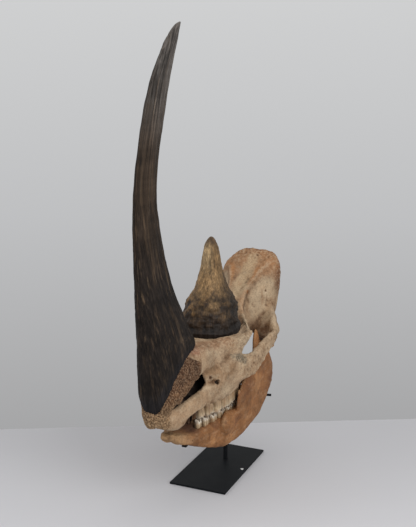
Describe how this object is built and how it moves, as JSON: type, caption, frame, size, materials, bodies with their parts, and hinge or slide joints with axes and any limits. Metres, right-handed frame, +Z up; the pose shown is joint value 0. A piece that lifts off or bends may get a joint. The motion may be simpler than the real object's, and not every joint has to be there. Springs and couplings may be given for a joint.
{
  "type": "woolly rhinoceros skull on stand",
  "caption": "Woolly rhinoceros skull with a long front horn, a short rear horn and the lower jaw, held over a flat black base plate by a thin post.",
  "frame": {"origin": "middle of the base plate's underside", "axes": "+Z up, out of the base plate; the nose points to -Y and the rear crest to +Y; the animal's left side is +X"},
  "size_m": [0.3187, 0.833, 1.3222],
  "materials": {
    "cranium_bone": "old pale tan bone, dry and dull, browner along the crest's rim and over the rough boss",
    "mandible_bone": "orange-brown bone with darker patches, dull",
    "enamel": "cream cheek teeth with upright ridges, slightly glossy",
    "front_horn": "blackish brown horn with long fine streaks",
    "rear_horn": "dark lumpy base, yellowish brown upper half",
    "black_metal": "satin black"
  },
  "bodies": {
    "root": {"cranium": "cranium_bone", "mandible": "mandible_bone", "front_horn": "front_horn", "rear_horn": "rear_horn", "upper_premolar_2_left": "enamel", "upper_premolar_3_left": "enamel", "upper_premolar_4_left": "enamel", "upper_molar_1_left": "enamel", "upper_molar_2_left": "enamel", "upper_molar_3_left": "enamel", "upper_premolar_2_right": "enamel", "upper_premolar_3_right": "enamel", "upper_premolar_4_right": "enamel", "upper_molar_1_right": "enamel", "upper_molar_2_right": "enamel", "upper_molar_3_right": "enamel", "lower_premolar_2_left": "enamel", "lower_premolar_3_left": "enamel", "lower_premolar_4_left": "enamel", "lower_molar_1_left": "enamel", "lower_molar_2_left": "enamel", "lower_molar_3_left": "enamel", "lower_premolar_2_right": "enamel", "lower_premolar_3_right": "enamel", "lower_premolar_4_right": "enamel", "lower_molar_1_right": "enamel", "lower_molar_2_right": "enamel", "lower_molar_3_right": "enamel", "base_plate": "black_metal", "post": "black_metal", "saddle": "black_metal", "front_arm": "black_metal", "palate_prong": "black_metal", "jaw_clip_left": "black_metal", "jaw_clip_right": "black_metal"}
  },
  "joints": []
}
